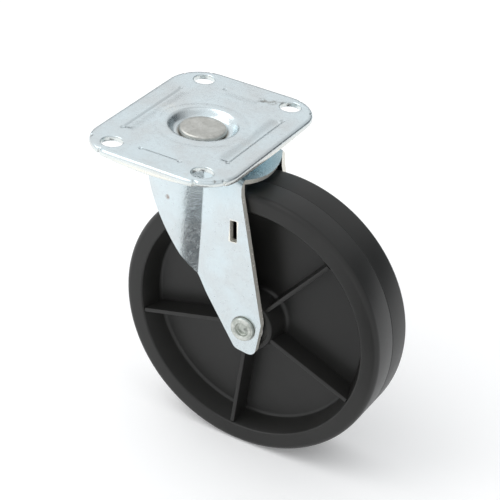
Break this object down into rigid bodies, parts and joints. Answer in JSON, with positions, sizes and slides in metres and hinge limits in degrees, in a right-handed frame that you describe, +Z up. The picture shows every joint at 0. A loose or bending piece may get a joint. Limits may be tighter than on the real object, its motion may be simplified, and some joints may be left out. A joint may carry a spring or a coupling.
{
  "type": "swivel plate caster",
  "caption": "Swivel caster with a rectangular bolt-on plate, a pressed offset fork and one solid plastic wheel on a riveted axle.",
  "frame": {"origin": "centre of the four bolt holes, on the swivel axis, at the plate's top face", "axes": "+Z up along the kingpin out of the plate, +X towards the trailing wheel at rest, +Y along the axle"},
  "size_m": [0.137, 0.0952, 0.1443],
  "materials": {
    "zinc_plate": "bright zinc plating with a faint blue tint, pressed sheet",
    "rivet_steel": "dull plain steel",
    "ball_steel": "hardened polished steel",
    "race_steel": "pressed steel with a light oil film",
    "wheel_plastic": "black moulded polyolefin, satin",
    "cage_plastic": "natural nylon",
    "seal_rubber": "black nitrile rubber"
  },
  "bodies": {
    "plate": {"top_plate": "zinc_plate", "kingpin": "rivet_steel", "kingpin_spacer": "race_steel", "lower_race_cup": "zinc_plate", "kingpin_washer": "zinc_plate", "race_seal": "seal_rubber"},
    "upper_row": {"upper_balls": "ball_steel", "upper_ball_retainer": "cage_plastic"},
    "lower_row": {"lower_balls": "ball_steel", "lower_ball_retainer": "cage_plastic"},
    "fork": {"fork": "zinc_plate", "axle_rivet": "rivet_steel", "axle_sleeve": "race_steel", "thrust_washer_near": "zinc_plate", "thrust_washer_far": "zinc_plate"},
    "wheel": {"wheel_moulding": "wheel_plastic", "bearing_shell": "race_steel", "hub_cap_near": "cage_plastic", "hub_cap_far": "cage_plastic"},
    "roller_set": {"bearing_rollers": "ball_steel", "roller_cage": "cage_plastic"}
  },
  "joints": [
    {"name": "swivel", "type": "hinge", "parent": "plate", "child": "fork", "pos_m": [0, 0, 0], "axis": [0, 0, 1], "continuous": true},
    {"name": "upper_row_orbit", "type": "hinge", "parent": "plate", "child": "upper_row", "pos_m": [0, 0, 0], "axis": [0, 0, 1], "continuous": true},
    {"name": "lower_row_orbit", "type": "hinge", "parent": "plate", "child": "lower_row", "pos_m": [0, 0, 0], "axis": [0, 0, 1], "continuous": true},
    {"name": "wheel_spin", "type": "hinge", "parent": "fork", "child": "wheel", "pos_m": [0.038, 0, -0.0808], "axis": [0, 1, 0], "continuous": true},
    {"name": "roller_orbit", "type": "hinge", "parent": "fork", "child": "roller_set", "pos_m": [0.038, 0, -0.0808], "axis": [0, 1, 0], "continuous": true}
  ],
  "couplings": [
    {"joint": "upper_row_orbit", "follows": "swivel", "ratio": 0.5},
    {"joint": "lower_row_orbit", "follows": "swivel", "ratio": 0.5},
    {"joint": "roller_orbit", "follows": "wheel_spin", "ratio": 0.5836}
  ]
}
